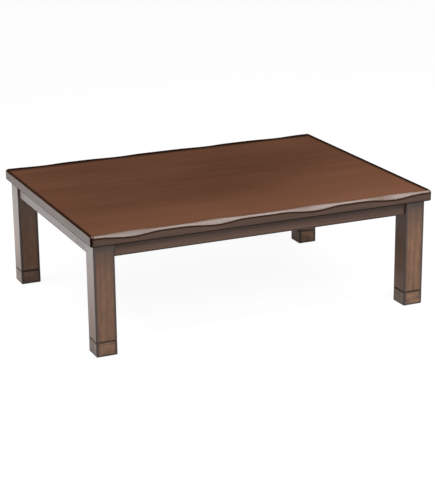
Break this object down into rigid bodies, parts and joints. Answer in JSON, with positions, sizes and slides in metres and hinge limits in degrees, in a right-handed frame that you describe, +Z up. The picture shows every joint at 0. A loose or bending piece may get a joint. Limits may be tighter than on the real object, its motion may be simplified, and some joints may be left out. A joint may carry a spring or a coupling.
{
  "type": "kotatsu table",
  "caption": "Low rectangular heated table: lift-off board with scoop-carved long edges, apron frame with an under-board heater, square legs on screw-off extension feet.",
  "frame": {"origin": "on the floor under the middle of the table", "axes": "+X along the long side to the right, +Y to the rear, +Z up"},
  "size_m": [1.2, 0.9, 0.405],
  "materials": {
    "walnut_top": "satin walnut veneer",
    "walnut_edge": "satin stained lipping",
    "walnut_frame": "satin stained wood",
    "walnut_foot": "satin stained wood",
    "panel_core": "raw particle board",
    "panel_backing": "matt backing sheet",
    "rail_wood": "raw softwood",
    "dowel_wood": "raw beech",
    "zinc_steel": "zinc plated",
    "screw_steel": "zinc plated",
    "insert_brass": "turned",
    "heater_metal": "matt grey paint",
    "reflector_metal": "bright",
    "grille_metal": "matt black paint",
    "guard_plastic": "matt",
    "quartz": "clear",
    "coil_wire": "oxidised",
    "cap_ceramic": "matt",
    "fan_plastic": "matt",
    "motor_metal": "satin",
    "shaft_steel": "ground",
    "terminal_plastic": "satin",
    "inlet_plastic": "matt",
    "pin_brass": "nickel plated",
    "lead_rubber": "matt",
    "felt": "felt",
    "grip_rubber": "matt"
  },
  "bodies": {
    "frame": {"apron_front": "walnut_frame", "apron_rear": "walnut_frame", "apron_left": "walnut_frame", "apron_right": "walnut_frame", "heater_rail_front": "rail_wood", "heater_rail_rear": "rail_wood", "heater_rail_left": "rail_wood", "heater_rail_right": "rail_wood", "tie_rail_left": "rail_wood", "tie_rail_right": "rail_wood", "rail_dowels": "dowel_wood", "corner_brackets": "zinc_steel", "bracket_screws": "screw_steel", "leg_bolts": "zinc_steel", "leg_bolt_nuts": "zinc_steel", "leg_inserts": "insert_brass", "grip_pads": "grip_rubber", "heater_case": "heater_metal", "reflector": "reflector_metal", "guard_grille": "grille_metal", "guard_frame": "guard_plastic", "heater_screws": "screw_steel", "quartz_tube_front": "quartz", "quartz_tube_rear": "quartz", "heating_coils": "coil_wire", "tube_end_caps": "cap_ceramic", "tube_holders": "zinc_steel", "fan_motor": "motor_metal", "thermostat": "zinc_steel", "thermal_fuse": "cap_ceramic", "terminal_block": "terminal_plastic", "power_inlet": "inlet_plastic", "inlet_pins": "pin_brass", "lead_wires": "lead_rubber", "leg_front_left": "walnut_frame", "leg_front_right": "walnut_frame", "leg_rear_left": "walnut_frame", "leg_rear_right": "walnut_frame"},
    "board": {"core_panel": "panel_core", "top_veneer": "walnut_top", "backing_veneer": "panel_backing", "edge_front": "walnut_edge", "edge_rear": "walnut_edge", "edge_left": "walnut_edge", "edge_right": "walnut_edge"},
    "heater_fan": {"fan_rotor": "fan_plastic", "fan_shaft": "shaft_steel"},
    "stud_front_left": {"foot_stud_front_left": "zinc_steel"},
    "extension_front_left": {"foot_front_left": "walnut_foot", "foot_pad_front_left": "felt"},
    "stud_front_right": {"foot_stud_front_right": "zinc_steel"},
    "extension_front_right": {"foot_front_right": "walnut_foot", "foot_pad_front_right": "felt"},
    "stud_rear_left": {"foot_stud_rear_left": "zinc_steel"},
    "extension_rear_left": {"foot_rear_left": "walnut_foot", "foot_pad_rear_left": "felt"},
    "stud_rear_right": {"foot_stud_rear_right": "zinc_steel"},
    "extension_rear_right": {"foot_rear_right": "walnut_foot", "foot_pad_rear_right": "felt"}
  },
  "joints": [
    {"name": "board_lift", "type": "slide", "parent": "frame", "child": "board", "axis": [0, 0, 1], "range_m": [0, 0.2]},
    {"name": "fan_spin", "type": "hinge", "parent": "frame", "child": "heater_fan", "pos_m": [0, 0, 0.3387], "axis": [0, 0, 1], "continuous": true},
    {"name": "foot_drop_front_left", "type": "slide", "parent": "frame", "child": "stud_front_left", "axis": [0, 0, -1], "range_m": [0, 0.02]},
    {"name": "foot_turn_front_left", "type": "hinge", "parent": "stud_front_left", "child": "extension_front_left", "pos_m": [-0.551, -0.389, 0.05], "axis": [0, 0, -1], "range_deg": [0, 5760]},
    {"name": "foot_drop_front_right", "type": "slide", "parent": "frame", "child": "stud_front_right", "axis": [0, 0, -1], "range_m": [0, 0.02]},
    {"name": "foot_turn_front_right", "type": "hinge", "parent": "stud_front_right", "child": "extension_front_right", "pos_m": [0.551, -0.389, 0.05], "axis": [0, 0, -1], "range_deg": [0, 5760]},
    {"name": "foot_drop_rear_left", "type": "slide", "parent": "frame", "child": "stud_rear_left", "axis": [0, 0, -1], "range_m": [0, 0.02]},
    {"name": "foot_turn_rear_left", "type": "hinge", "parent": "stud_rear_left", "child": "extension_rear_left", "pos_m": [-0.551, 0.389, 0.05], "axis": [0, 0, -1], "range_deg": [0, 5760]},
    {"name": "foot_drop_rear_right", "type": "slide", "parent": "frame", "child": "stud_rear_right", "axis": [0, 0, -1], "range_m": [0, 0.02]},
    {"name": "foot_turn_rear_right", "type": "hinge", "parent": "stud_rear_right", "child": "extension_rear_right", "pos_m": [0.551, 0.389, 0.05], "axis": [0, 0, -1], "range_deg": [0, 5760]}
  ],
  "couplings": [
    {"joint": "foot_drop_front_left", "follows": "foot_turn_front_left", "m_per_rad": 0.00019894},
    {"joint": "foot_drop_front_right", "follows": "foot_turn_front_right", "m_per_rad": 0.00019894},
    {"joint": "foot_drop_rear_left", "follows": "foot_turn_rear_left", "m_per_rad": 0.00019894},
    {"joint": "foot_drop_rear_right", "follows": "foot_turn_rear_right", "m_per_rad": 0.00019894}
  ]
}
